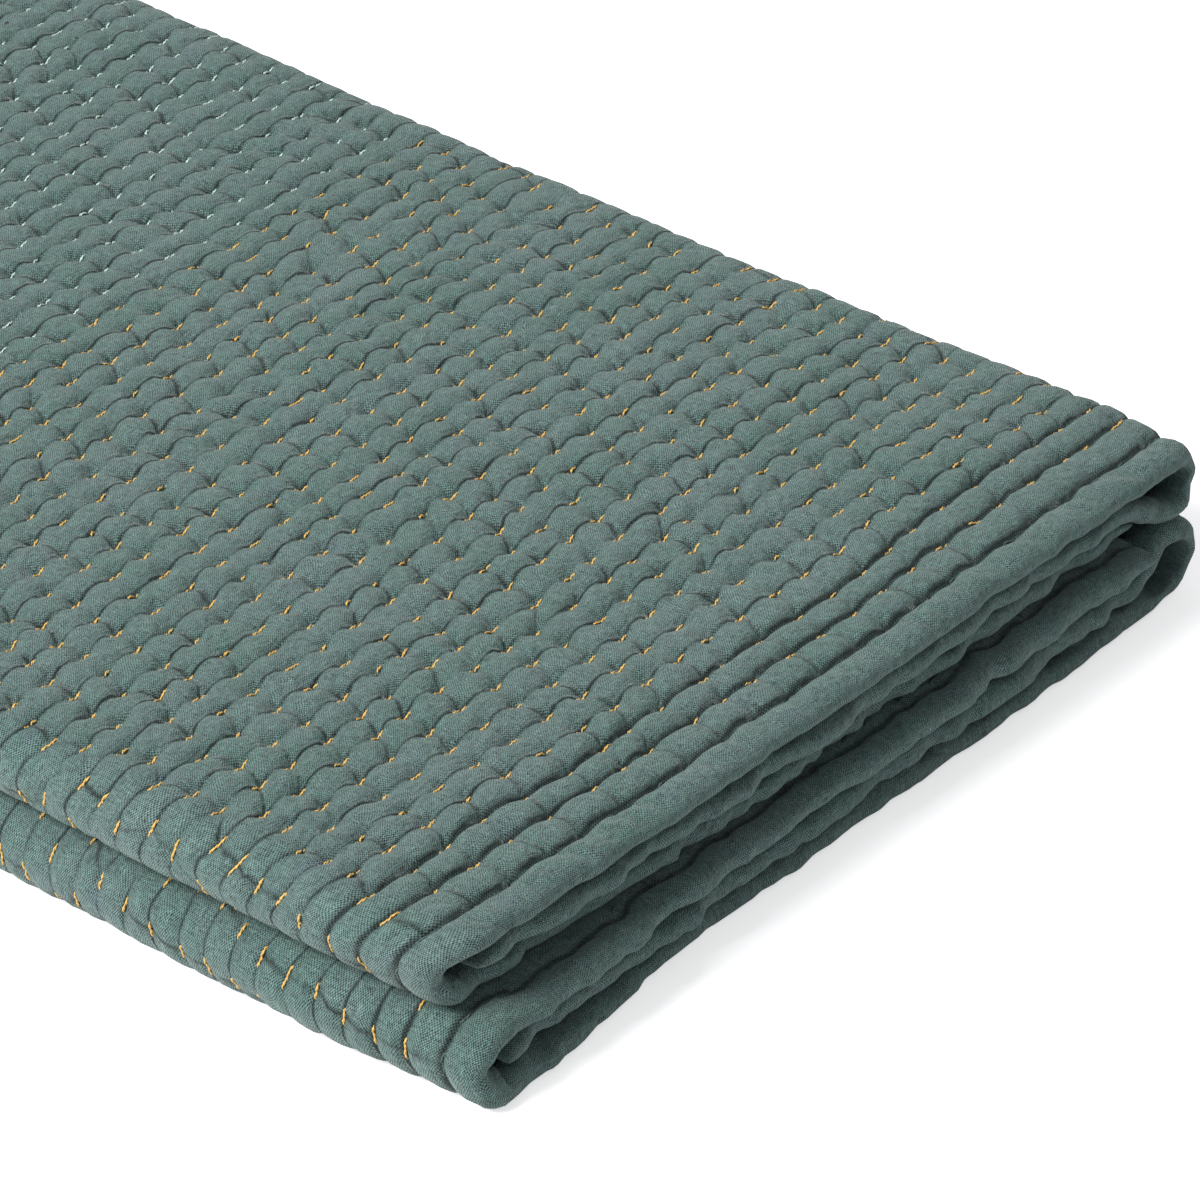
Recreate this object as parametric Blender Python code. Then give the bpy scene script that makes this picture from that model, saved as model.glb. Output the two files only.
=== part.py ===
"""A hand-quilted cotton kantha quilt, folded flat.

The quilt is one piece of padded cloth.  It is rolled in thirds across its width, like a
letter, and then folded once across its length, so that its two hems lie one above the other
at the front (-Y) and the fold lies at the back (+Y).  Seen from the front it has six layers.

A section of the rolled cloth (X across, an offset up from the middle of the stack) is swept
along a hairpin: back along the upper half, round the rear fold and forward along the lower
half.  The stitched rows are grooves across the sweep, and the hem is a thicker rolled edge.
"""
import math

import bmesh
import bpy

# Driving dimensions, in metres
ROW_PITCH = 0.011            # from one stitched row to the next
STACK_HEIGHT = 0.055         # six layers, lying
LAYER_COUNT = 6
CLOTH = 0.0082               # padded cloth at the crown between two rows
FRONT_HALF_WIDTH = 0.1766    # the folded quilt at its hems
REAR_HALF_WIDTH = 0.1914     # and at its rear fold, where it was folded a little wider
RUN = 0.508                  # from the hem to where the rear fold starts to turn

# The hem: distance from the edge, and the cloth's thickness there as a share of CLOTH
HEM_PROFILE = (
    # distance, visible side, hidden side
    (0.0000, 0.40, 0.40),
    (0.0014, 0.80, 0.78),
    (0.0042, 1.12, 1.00),
    (0.0090, 1.16, 1.03),
)
HEM_ROWS = (0.0127, 0.0259, 0.0375)   # the three rows nearest the edge, wider apart
GROOVE = 0.56                # thickness at a stitched row, as a share of CLOTH
HIDDEN_GROOVE = 0.80         # the same on faces pressed against another layer
CROWN = 1.0
SHOULDER = 0.27              # the crown starts this share of the row spacing from the row
ROW_WAVE = 0.0016            # how far a hand-sewn row strays from straight
ROW_WAVE_TURNS = (17.0, 9.0)            # its waves across and along, in radians a metre
HEM_RIPPLE = 0.0008          # how far a hem's edge strays between its corners
HEM_RIPPLE_TURNS = (31.0, 70.0)         # across, and from one layer to the next

# Where the section's pieces begin and end, across the width
TUCK_GAP = 0.0010            # side edge of the middle layer, past the middle of the side bend
LOOP_EDGE = 0.0240           # free side edge of the inner layer, short of the open loop
LOOP_RISE = 0.0260           # in this width the middle layer climbs off the open loop
EDGE_CLOTH = 0.0050          # pinched side edge under the open loop
EDGE_TAPER = 0.0140
EDGE_ROUND = 0.0040
EDGE_BLUNT = 0.5             # a side edge's thickness at its very end, as a share
REAR_OPENING = 0.0017        # the innermost layer turns on this radius, more than flat

# How far each layer's hem is set back from the front; minus sticks out
HEM_SETBACK = {
    # layer: left, middle, right
    "upper": {
        "outer": (0.0020, 0.0000, 0.0015),
        "middle": (0.0060, 0.0020, 0.0025),
        "inner": (0.0080, 0.0060, 0.0080),
    },
    "lower": {
        "outer": (-0.0095, -0.0005, 0.0020),
        "middle": (-0.0045, -0.0020, 0.0025),
        "inner": (-0.0075, -0.0035, 0.0010),
    },
}
SETBACK_REACH = 0.34         # share of the width over which a side's setback fades into the middle's
BEND_SETBACK = {"upper": 0.0040, "lower": 0.0010}   # more of it where the hem turns at the left

# How far the folded edges stray from the plain outline; plus is to the right
LEFT_SHIFT = {"upper": -0.0020, "rear": -0.0035, "lower": -0.0050}
RIGHT_HOLLOW = -0.0035       # drawn in halfway along
LOWER_RIGHT_SHIFT = 0.0020   # the lower open loop is fuller at its hem
CORNER_DROOP = 0.050         # share of its height by which the right corner of the hem sinks
DROOP_REACH = 0.036          # how far from the hem that is felt
CORNER_REACH = 0.055         # how far from a corner the edges and rows are straight

# Segments along the section
OUTER_SEGMENTS = 6
BEND_SEGMENTS = 5
LOOP_SEGMENTS = 5
RISE_SEGMENTS = 3
MIDDLE_SEGMENTS = 3
INNER_SEGMENTS = 4

REAR_STEPS = 16              # groove and crown steps round the rear fold
SINK = 0.0005                # the cloth's own weight flattens its lowest crowns by this
HIDDEN_EVERY = 14            # a hidden face keeps one row in so many
RESTING_EVERY = 2            # and so does the face that it lies on
STACK_UNEVEN = 0.016         # share by which the stack's height rises and falls
STACK_UNEVEN_TURNS = (11.0, 9.0)        # across and along, in radians a metre
STACK_UNEVEN_START = (1.3, 0.6)
UPPER_LIFT = 0.035           # the open loops hold the right side of each half up
LOWER_LIFT = 0.110
LIFT_FROM = -0.060           # across the width, where that lift starts
LIFT_WIDTH = 0.220

LAYER = STACK_HEIGHT / LAYER_COUNT
OFFSET = {"inner": 0.5 * LAYER, "middle": 1.5 * LAYER, "outer": 2.5 * LAYER}
OUTER_FACE = OFFSET["outer"] + CLOTH / 2
BEND_RADIUS = LAYER
ALL_KINDS = {"bend", "loop", "outer", "hidden"}


def smooth(value):
    """Ease from 0 to 1."""
    value = min(max(value, 0.0), 1.0)
    return value * value * (3.0 - 2.0 * value)


def between(start, end, share):
    """The value that lies the given share of the way from start to end."""
    return start + (end - start) * share


def spread(start, end, count):
    """Values from start to end, both included, in count steps."""
    return [between(start, end, step / count) for step in range(count + 1)]


def section():
    """The rolled cloth's middle line: (x, offset, thickness, layer, seen) from free edge to free edge.

    Three runs joined by the closed bend at the left and the open loop at the right.
    """
    left = -FRONT_HALF_WIDTH + CLOTH / 2
    right = FRONT_HALF_WIDTH - CLOTH / 2
    bend_x = left + BEND_RADIUS
    loop_x = right - BEND_RADIUS
    line = []

    edge_x = right - LOOP_EDGE
    edge = [edge_x - EDGE_ROUND] + spread(edge_x, edge_x - EDGE_TAPER, 2)[1:]
    for x in edge + spread(edge[-1], bend_x, INNER_SEGMENTS)[1:-1]:
        thick = between(EDGE_CLOTH, CLOTH, smooth((edge_x - x) / EDGE_TAPER))
        line.append((x, OFFSET["inner"] - (CLOTH - thick) / 2, thick, "inner", False))
    line.insert(0, (edge_x, line[0][1], EDGE_CLOTH * EDGE_BLUNT, "inner", False))

    for angle in spread(-math.pi / 2, -3 * math.pi / 2, BEND_SEGMENTS):
        across = bend_x + BEND_RADIUS * math.cos(angle)
        up = OFFSET["middle"] + BEND_RADIUS * math.sin(angle)
        line.append((across, up, CLOTH, "bend", True))

    for x in spread(bend_x, loop_x, OUTER_SEGMENTS)[1:-1]:
        line.append((x, OFFSET["outer"], CLOTH, "outer", True))

    for angle in spread(math.pi / 2, -math.pi / 2, LOOP_SEGMENTS):
        across = loop_x + BEND_RADIUS * math.cos(angle)
        up = OFFSET["middle"] + BEND_RADIUS * math.sin(angle)
        line.append((across, up, CLOTH, "loop", True))

    tuck_x = bend_x + TUCK_GAP
    rise = spread(loop_x, loop_x - LOOP_RISE, RISE_SEGMENTS)[1:]
    run = spread(rise[-1], tuck_x + EDGE_ROUND, MIDDLE_SEGMENTS)[1:]
    for x in rise + run + [tuck_x]:
        up = OFFSET["inner"] + LAYER * smooth((loop_x - x) / LOOP_RISE)
        thick = CLOTH * (EDGE_BLUNT if x == tuck_x else 1.0)
        line.append((x, up, thick, "middle", False))
    return line


def outline(line):
    """Section points with their unit normals; the normal points to the cloth's outer side."""
    points = []
    for index, (x, up, thick, layer, seen) in enumerate(line):
        before = line[max(index - 1, 0)]
        after = line[min(index + 1, len(line) - 1)]
        run_x, run_up = after[0] - before[0], after[1] - before[1]
        length = math.hypot(run_x, run_up)
        normal = (-run_up / length, run_x / length)
        points.append(((x, up), normal, thick, layer, seen))
    return points


def row_places():
    """Distances of the stitched rows from the hem, up to the rear fold."""
    rows = list(HEM_ROWS)
    while rows[-1] + ROW_PITCH < RUN - ROW_PITCH / 2:
        rows.append(rows[-1] + ROW_PITCH)
    stretch = (RUN - HEM_ROWS[-1]) / (rows[-1] + ROW_PITCH / 2 - HEM_ROWS[-1])
    return rows[:len(HEM_ROWS)] + [HEM_ROWS[-1] + (row - HEM_ROWS[-1]) * stretch
                                   for row in rows[len(HEM_ROWS):]]


def half_stops(half):
    """Stops of one half, from the hem to the rear fold: (half, place, seen share, hidden share, kinds).

    kinds are the kinds of column that have a point there.  A row is a groove with a shoulder on
    each side, or on the plainer columns a groove and the top of the crown after it.
    """
    stops = [(half, place, seen, hidden, ALL_KINDS) for place, seen, hidden in HEM_PROFILE]
    rows = row_places()
    for number, row in enumerate(rows):
        after = rows[number + 1] if number + 1 < len(rows) else RUN
        fine = {"bend"} if half == "lower" else {"bend", "loop", "outer"}
        plain = ALL_KINDS - fine - {"hidden"}
        sparse = {"hidden"} if number % HIDDEN_EVERY == 0 else set()
        grooved = ALL_KINDS - {"hidden"}
        if half == "lower" and number % RESTING_EVERY:
            grooved = grooved - {"outer"}
        stops.append((half, row, GROOVE, HIDDEN_GROOVE, grooved | sparse))
        for share, kinds in ((SHOULDER, fine), (0.5, plain | sparse), (1.0 - SHOULDER, fine)):
            if kinds:
                stops.append((half, row + (after - row) * share, CROWN, CROWN, kinds))
    return stops


def rear_stops():
    """Stops round the rear fold, where place is an angle."""
    stops = []
    for step in range(REAR_STEPS + 1):
        groove = step % 2 == 0
        kinds = ALL_KINDS if step % 4 == 0 else ALL_KINDS - {"hidden"}
        shares = (GROOVE, HIDDEN_GROOVE) if groove else (CROWN, CROWN)
        stops.append(("rear", math.pi * step / REAR_STEPS) + shares + (kinds,))
    return stops


def stations():
    """All stops along the hairpin, from the upper hem to the lower one."""
    return half_stops("upper") + rear_stops() + half_stops("lower")[::-1]


def setback(half, layer, x, up):
    """How far a section point's hem lies behind the front."""
    table = HEM_SETBACK[half]
    turned = (up - OFFSET["inner"]) / (OFFSET["outer"] - OFFSET["inner"])
    if layer == "bend":
        hump = BEND_SETBACK[half] * math.sin(math.pi * turned)
        return between(table["inner"][0], table["outer"][0], turned) + hump
    if layer == "loop":
        return between(table["middle"][2], table["outer"][2], turned)
    across = (x + FRONT_HALF_WIDTH) / (2 * FRONT_HALF_WIDTH)
    left, middle, right = table[layer]
    back = between(left, middle, smooth(across / SETBACK_REACH))
    back = between(back, right, smooth(1.0 - (1.0 - across) / SETBACK_REACH))
    ripple = HEM_RIPPLE * math.sin(HEM_RIPPLE_TURNS[0] * x + HEM_RIPPLE_TURNS[1] * OFFSET[layer])
    return back + ripple * math.sin(math.pi * across)


def plan_x(x, y, half):
    """Where a section point lies across the quilt, with its edges as uneven as they lie."""
    across = (x + FRONT_HALF_WIDTH) / (2 * FRONT_HALF_WIDTH)
    along = max(y, 0.0) / (RUN + OUTER_FACE)
    width = between(FRONT_HALF_WIDTH, REAR_HALF_WIDTH, along)
    left = LEFT_SHIFT[half] * smooth(y / CORNER_REACH) * smooth((RUN - y) / CORNER_REACH)
    right = RIGHT_HOLLOW * math.sin(math.pi * min(along, 1.0))
    if half == "lower":
        right += LOWER_RIGHT_SHIFT * smooth((3 * CORNER_REACH - y) / (3 * CORNER_REACH))
    return x * width / FRONT_HALF_WIDTH + between(left, right, across)


def place(x, up, stop, back):
    """World position of a section point at a stop of the hairpin, before centring."""
    half, where = stop[0], stop[1]
    if half == "rear":
        y = RUN
        turn = where
        along = 1.0
    else:
        fade = smooth((where - HEM_ROWS[2]) / CORNER_REACH) * smooth((RUN - where) / CORNER_REACH)
        wave = ROW_WAVE * math.sin(ROW_WAVE_TURNS[0] * x + ROW_WAVE_TURNS[1] * where) * fade
        y = between(back, RUN, where / RUN) + wave
        turn = 0.0 if half == "upper" else math.pi
        along = smooth(1.0 - (RUN - where) / CORNER_REACH)
    closing = 1.0 - along * REAR_OPENING / (OUTER_FACE - OFFSET["inner"] + CLOTH / 2)
    radius = OUTER_FACE - (OUTER_FACE - up) * closing
    y += radius * math.sin(turn)
    height = radius * math.cos(turn)
    lift = smooth((x - LIFT_FROM) / LIFT_WIDTH)
    middle = (OUTER_FACE - SINK) * (1.0 + LOWER_LIFT * lift)
    growth = LOWER_LIFT if height < 0.0 else UPPER_LIFT
    z = middle + height * (1.0 + growth * lift)
    uneven = STACK_UNEVEN
    for value, turns, start in zip((x, y), STACK_UNEVEN_TURNS, STACK_UNEVEN_START):
        uneven *= math.sin(turns * value + start)
    near_right = smooth(1.0 - (FRONT_HALF_WIDTH - x) / (2 * CORNER_REACH))
    droop = CORNER_DROOP * near_right * smooth(1.0 - y / DROOP_REACH)
    return (plan_x(x, y, half), y, max(z * (1.0 + uneven - droop), 0.0))


def thickness_share(stop, visible, up):
    """Cloth thickness at a stop; a bend's bulge fades where it meets the other half."""
    seen, hidden = stop[2], stop[3]
    if not visible:
        return hidden
    return between(hidden, seen, smooth((up - OFFSET["inner"]) / (LAYER / 2)))


def column_points(mesh, point, side, stops):
    """One column of the cloth's face, along the hairpin: {stop number: vertex}."""
    (x, up), normal, thick, layer, seen = point
    visible = seen and side > 0
    kind = layer if visible else "hidden"
    column = {}
    for number, stop in enumerate(stops):
        if kind in stop[4]:
            half = "upper" if number < len(stops) / 2 else "lower"
            out = side * thick * thickness_share(stop, visible, up) / 2
            back = setback(half, layer, x, up)
            spot = place(x + normal[0] * out, up + normal[1] * out, stop, back)
            column[number] = mesh.verts.new(spot)
    return column


def build_cloth():
    """The whole folded cloth as one closed mesh."""
    mesh = bmesh.new()
    points = outline(section())
    stops = stations()
    outer = [column_points(mesh, point, 1.0, stops) for point in points]
    inner = [column_points(mesh, point, -1.0, stops) for point in points]
    ring = outer + inner[::-1]
    for index, column in enumerate(ring):
        stitch(mesh, column, ring[(index + 1) % len(ring)])
    for end in (0, len(stops) - 1):
        for index in range(len(points) - 1):
            mesh.faces.new((outer[index][end], outer[index + 1][end],
                            inner[index + 1][end], inner[index][end]))
    bmesh.ops.recalc_face_normals(mesh, faces=mesh.faces)
    return mesh


def stitch(mesh, first, second):
    """Join two columns of points whose stops may differ."""
    one, two = sorted(first), sorted(second)
    i = j = 0
    while i < len(one) - 1 or j < len(two) - 1:
        next_one = one[i + 1] if i + 1 < len(one) else math.inf
        next_two = two[j + 1] if j + 1 < len(two) else math.inf
        if next_one == next_two:
            mesh.faces.new((first[one[i]], first[next_one], second[next_two], second[two[j]]))
            i += 1
            j += 1
        elif next_one < next_two:
            mesh.faces.new((first[one[i]], first[next_one], second[two[j]]))
            i += 1
        else:
            mesh.faces.new((first[one[i]], second[next_two], second[two[j]]))
            j += 1


def centre_on_floor(mesh):
    """Put the origin under the middle of the folded quilt, on the surface it lies on."""
    across = [vert.co.x for vert in mesh.verts]
    along = [vert.co.y for vert in mesh.verts]
    middle_x = (min(across) + max(across)) / 2
    middle_y = (min(along) + max(along)) / 2
    for vert in mesh.verts:
        vert.co.x -= middle_x
        vert.co.y -= middle_y


def cotton():
    """Dyed cotton cloth, dull and grey-green."""
    material = bpy.data.materials.new("quilted_cotton")
    material.use_nodes = True
    shader = material.node_tree.nodes["Principled BSDF"]
    shader.inputs["Base Color"].default_value = (0.089, 0.138, 0.125, 1.0)
    shader.inputs["Roughness"].default_value = 0.92
    shader.inputs["Metallic"].default_value = 0.0
    return material


def main():
    for thing in list(bpy.data.objects):
        bpy.data.objects.remove(thing)
    cloth = build_cloth()
    centre_on_floor(cloth)
    data = bpy.data.meshes.new("quilt")
    cloth.to_mesh(data)
    cloth.free()
    data.shade_smooth()
    data.set_sharp_from_angle(angle=math.radians(70))
    data.materials.append(cotton())
    quilt = bpy.data.objects.new("quilt", data)
    bpy.context.scene.collection.objects.link(quilt)


main()
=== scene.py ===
import math

import bpy
import numpy as np
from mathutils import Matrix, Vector


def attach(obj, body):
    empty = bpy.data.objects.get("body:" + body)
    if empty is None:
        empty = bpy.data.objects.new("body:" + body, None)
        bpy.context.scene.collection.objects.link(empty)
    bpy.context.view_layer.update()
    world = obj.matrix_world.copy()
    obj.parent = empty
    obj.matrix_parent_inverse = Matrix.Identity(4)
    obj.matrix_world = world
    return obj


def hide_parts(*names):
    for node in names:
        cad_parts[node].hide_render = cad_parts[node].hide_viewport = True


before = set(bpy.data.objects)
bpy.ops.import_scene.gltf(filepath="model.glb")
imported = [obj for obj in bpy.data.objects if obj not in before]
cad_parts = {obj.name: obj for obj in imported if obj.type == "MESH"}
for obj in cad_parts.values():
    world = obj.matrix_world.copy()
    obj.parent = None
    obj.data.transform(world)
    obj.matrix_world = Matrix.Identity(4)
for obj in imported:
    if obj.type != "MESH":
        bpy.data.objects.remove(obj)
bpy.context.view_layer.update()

# A kantha quilt, folded in three and then in two, lying on a pale floor.
# x runs along the hems, y from the front hem to the rear fold, z up.  All lengths are in metres.

# ------------------------ the folded cloth

STACK_HEIGHT = 0.055  # six layers, lying
CLOTH = 0.0082  # padded cloth between two rows
HALF_WIDTH, REAR_HALF_WIDTH = 0.1766, 0.1914
RUN = 0.508  # upper hem to the axis of the rear fold

LAYER = STACK_HEIGHT / 6
INNER, MIDDLE, OUTER = 0.5 * LAYER, 1.5 * LAYER, 2.5 * LAYER
OUTER_FACE = OUTER + CLOTH / 2
REAR_LENGTH = math.pi * OUTER_FACE
LENGTH = 2 * RUN + REAR_LENGTH

CENTRE = (-0.0016012, 0.2624988, 0.0)  # goes to the origin

LEFT = -HALF_WIDTH + CLOTH / 2
RIGHT = HALF_WIDTH - CLOTH / 2
BEND_X = LEFT + LAYER
LOOP_X = RIGHT - LAYER
EDGE_X = RIGHT - 0.0240  # free edge of the inner layer
LOOP_RISE = 0.0260
TUCK_X = BEND_X + 0.0010  # free edge of the middle layer
EDGE_CLOTH = 0.0050  # pinched free edges, and how wide they taper and round off
EDGE_TAPER = 0.0140
EDGE_ROUND = 0.0040
EDGE_BLUNT = 0.25  # a free edge's thickness at its very end, as a share
SINK = 0.0005  # the cloth's own weight flattens its lowest crowns by this
LINE_STEP = 0.0005  # between the middle line's points
TURN_POINTS = 60  # of its bend and its loop

# How far each hem lies behind the upper outer one: left, middle, right, by half and layer.
SETBACK = {
    "upper": {"outer": (0.0020, 0.0000, 0.0015), "middle": (0.0060, 0.0020, 0.0025),
              "inner": (0.0080, 0.0060, 0.0080), "bend": 0.0040},
    "lower": {"outer": (-0.0095, -0.0005, 0.0020), "middle": (-0.0045, -0.0020, 0.0025),
              "inner": (-0.0075, -0.0035, 0.0010), "bend": 0.0010},
}
SETBACK_REACH = 0.30  # share of the width over which a side's setback fades
RIPPLE_FADE, RIPPLE_END = 0.050, 0.060  # how a hem's ripples fade out behind its edge
CALMER_OUTSIDE = 0.4  # share of the ripples that the outer layer keeps
LEFT_SHIFT = {"upper": -0.0020, "rear": -0.0035, "lower": -0.0050}
RIGHT_HOLLOW = -0.0035  # drawn in halfway along
RIGHT_BULGE = 0.0026  # and fuller just behind the hems
BULGE_MIDDLE, BULGE_REACH = 0.055, 0.050
LOWER_RIGHT_SHIFT = 0.0020  # the lower open loop is fuller at its hem
CORNER_DROOP = 0.030  # share of its height by which the hems' right corner sinks
DROOP_REACH = 0.036
CORNER_REACH = 0.055
REAR_OPENING = 0.0017  # the innermost layer turns on this radius
UPPER_LIFT, LOWER_LIFT = 0.035, 0.110  # by which the open loops hold the right side up
LIFT_FROM, LIFT_WIDTH = -0.060, 0.220
STACK_UNEVEN = 0.016  # share by which the stack's height rises and falls
STACK_UNEVEN_TURNS = (11.0, 9.0)  # across and along, in radians a metre
STACK_UNEVEN_START = (1.3, 0.6)

# ------------------------ the quilting

HEM_ROWS = (0.0127, 0.0259, 0.0375)  # the first rows, from the hem
HALF_LENGTH = LENGTH / 2
EVEN_ROWS = 46  # in each half, behind the hem rows
ROW_GAP = (HALF_LENGTH - HEM_ROWS[2]) / (EVEN_ROWS + 0.5)
INNER_LINE = 2 * HEM_ROWS[0] / ROW_GAP  # the hem's row on the inner side, as a row number
INNER_PULL = 0.0036  # the innermost layer's first row is nearer its edge
PULL_FADE = 0.020  # the pull fades over this before the bend
PULL_RISE, PULL_END, PULL_FALL = 0.006, 0.032, 0.014  # and sets in and ends behind the hem
HEM_DEPTHS = (0.0014, 0.0012, 0.0013)  # of the hem rows' hollows
HEM_SLITS = (0.0015, 0.0010, 0.0012)  # and of the narrow slits in them
HEM_ROWS_END, HEM_ROWS_FADE = HEM_ROWS[2] + 0.004, 0.003  # how far in their own relief reaches
AT_HEM = {"arcs": 0.20, "pits": 0.65, "creases": 0.80, "crowns": 0.6}  # shares that hem rows keep
LOOSE_DEPTH, TIGHT_DEPTH = 0.00045, 0.0016  # of the other rows: all along, and more at a stitch
CROSS_DEPTH = 0.0017  # of the deepest creases from stitch to stitch
CREASE_MIDDLE = 0.40  # share of it halfway between two rows
CREASE_CHANCE = (0.10, 0.50)  # share with no crease, and share that is shallower
FOLD_DEPTH, CRINKLE_DEPTH = 0.0014, 0.0007  # of the hem's slanting folds and small crinkles
FOLD_SLANT = {"outer": 0.45, "inner": 0.40}  # along the hem for each metre away from it
STITCH_PITCH = 0.0150  # from stitch to stitch
STITCH_HALF = 0.0027  # half the length of a stitch
MINT_FROM = 0.325  # gold thread in front of this, mint thread behind it
STITCH_DRIFT = (0.14, 0.15)  # from row to row, in stitches: mean and spread
STITCH_STRAY = 0.10  # of each stitch, in stitches
SPARE_STITCHES = 6  # past the ends of a row, so that it has enough
FIRST_PLACE = 2.5  # stitches by which a row starts before the cloth
ARC = 0.095  # how far rows arch back between stitches, in rows
ARC_VARIETY = (-0.05, 1.45)  # share of it that each cell gets
ROW_BOW = 0.0108  # how far the rows are drawn forward at the sides
BOW_MIDDLE, BOW_REACH = 0.09, 0.127  # the bow is least at this x
BOW_ENDS = (0.25, 0.20)  # it grows behind the hem, fades before the fold
ROW_WAVE = 0.0016  # how far a hand-sewn row strays from straight
ROW_WAVE_TURNS = (17.0, 9.0)  # across and along, in radians a metre
NOSE = 0.0058  # length of the hem's rounded front
HEM_BLUNT = 0.10  # a hem's thickness at its very end, as a share
HEM_ROLL, ROLL_END, ROLL_FADE = 0.15, 0.013, 0.006  # a hem is fuller by this share
VARIETY_END, VARIETY_FADE = 0.02, 0.01  # and unevenly so up to here
INNER_GROOVE, GROOVE_REACH = 0.0016, 0.0028  # along the hem's row on the inner side
FULLER_BEND, THINNER_LOOP = 0.0020, 0.0018  # on the inner side, at the hems
CRUMPLED_HEM, CRUMPLE_FADE = 0.015, 0.030  # bends and loops are crumpled this near a hem
LOOSE_HEM, LOOSE_FADE = 0.014, 0.020  # hidden faces are loose this near a hem, then fade
PRESSED = {"outer": 0.88, "inner": 0.90}  # share of the thickness that they keep further in
HIDDEN_HOLLOWS = 0.8  # share of the hollows that they keep by the hems
FULL_RELIEF = 0.003  # half thickness from which cloth has all its relief
BUMP_TABLE = (97, 89)  # random bumps before they repeat
BUMP_START = 500.0  # keeps their places above zero

# Unevenness, as (height, size along the section, size along the quilt, seed).
WANDER = ((0.0019, 0.060, 0.034, 21), (0.0011, 0.024, 0.017, 22), (0.0005, 0.011, 0.009, 25))
WANDER_REACH = 0.05
LOOSE_VARIETY = ((0.75, 0.023, 0.009, 34),)  # of the rows' depth all along, as a share
HEM_ROW_STRAY = ((0.0005, 0.0075, 0.5, 45),)  # of the hem rows from straight
HEM_VARIETY = ((0.07, 0.030, 0.9, 36),)  # of a hem's fullness, as a share
UPPER_RIPPLES = ((0.0009, 0.047, 1.0, 13), (0.0010, 0.021, 1.0, 11),
                 (0.0016, 0.0095, 1.0, 15), (0.0009, 0.0050, 1.0, 17))
LOWER_RIPPLES = ((0.0009, 0.047, 1.0, 14), (0.0010, 0.021, 1.0, 12),
                 (0.0016, 0.0095, 1.0, 16), (0.0009, 0.0050, 1.0, 18))
PUFFS = ((0.00060, 0.026, 0.019, 31), (0.00028, 0.0095, 0.0070, 32),
         (0.00022, 0.0046, 0.0040, 35), (0.00060, 0.070, 0.050, 33))
INNER_BUMPS = ((0.00020, 0.026, 0.020, 37),)
INNER_PUFFS = ((0.00080, 0.0105, 0.0075, 38), (0.00050, 0.0055, 0.0050, 39))
CRUMPLES = ((0.0022, 0.0045, 0.034, 44),)  # inside the bends and loops

# The hems' slanting folds and crinkles, as (size along the section, along the quilt, seed).
OUTER_FOLDS, INNER_FOLDS = (0.0080, 0.030, 40), (0.0075, 0.030, 43)
CRINKLES = (0.0040, 0.012, 42)
CROWN_HEIGHT = 0.0007  # of the fullest cell over the flattest
RELIEF_ON_TURNS, TURN_FADE = 0.55, 0.016  # share of all this that the bends and loops keep

# How far hollows reach from their row or stitch; a row is steeper on its far side.  And the
# powers of their slopes.
ROW_REACH = {"front": 0.0019, "behind": 0.0010}
HEM_ROW_REACH = {"front": 0.0021, "behind": 0.0011}
SLIT_REACH = 0.0010
PIT_REACH = {"along": 0.0042, "across": 0.0022}
CREASE_REACH = 0.0016
POWER = {"row": 1.2, "pit along": 3, "pit across": 1.4, "crease": 1.3, "hem row": 1.4}
DEEPEST = 0.0026  # a hollow of this depth gets the full painted shade


def smooth(value):
    """Ease from 0 to 1."""
    value = np.clip(value, 0.0, 1.0)
    return value * value * (3.0 - 2.0 * value)


def between(start, end, share):
    """The value that lies the given share of the way from start to end."""
    return start + (end - start) * share


def within(value, start, end, rise, fall=None):
    """1 between start and end, easing from 0 just inside them over the ways rise and fall."""
    return smooth((value - start) / rise) * smooth((end - value) / (fall or rise))


def fall_off(distance, reach, power):
    """1 at no distance, falling softly to 0 past the reach; a higher power falls more steeply."""
    return np.exp(-(distance / reach) ** power)


def unevenness(a, b, long, wide, seed):
    """Soft random unevenness from -1 to 1 over the places (a, b), in bumps this long and wide."""
    rows, columns = BUMP_TABLE
    table = np.random.default_rng(seed).uniform(-1.0, 1.0, BUMP_TABLE)
    a, b = np.asarray(a) / long + BUMP_START, np.asarray(b) / wide + BUMP_START
    i, j = np.floor(a).astype(int), np.floor(b).astype(int)
    fa, fb = smooth(a - i), smooth(b - j)
    i0, i1 = i % rows, (i + 1) % rows
    j0, j1 = j % columns, (j + 1) % columns
    front = between(table[i0, j0], table[i1, j0], fa)
    back = between(table[i0, j1], table[i1, j1], fa)
    return between(front, back, fb)


def rounded(share):
    """Rise from 0 to 1 along a quarter circle."""
    return np.sqrt(np.clip(1.0 - (1.0 - np.clip(share, 0.0, 1.0)) ** 2, 0.0, 1.0))


def uneven_sum(a, b, parts):
    """Unevenness of several sizes added up, each given by its height, long, wide and seed."""
    return sum(height * unevenness(a, b, *size) for height, *size in parts)


# ------------------------ shape of the folds

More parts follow.
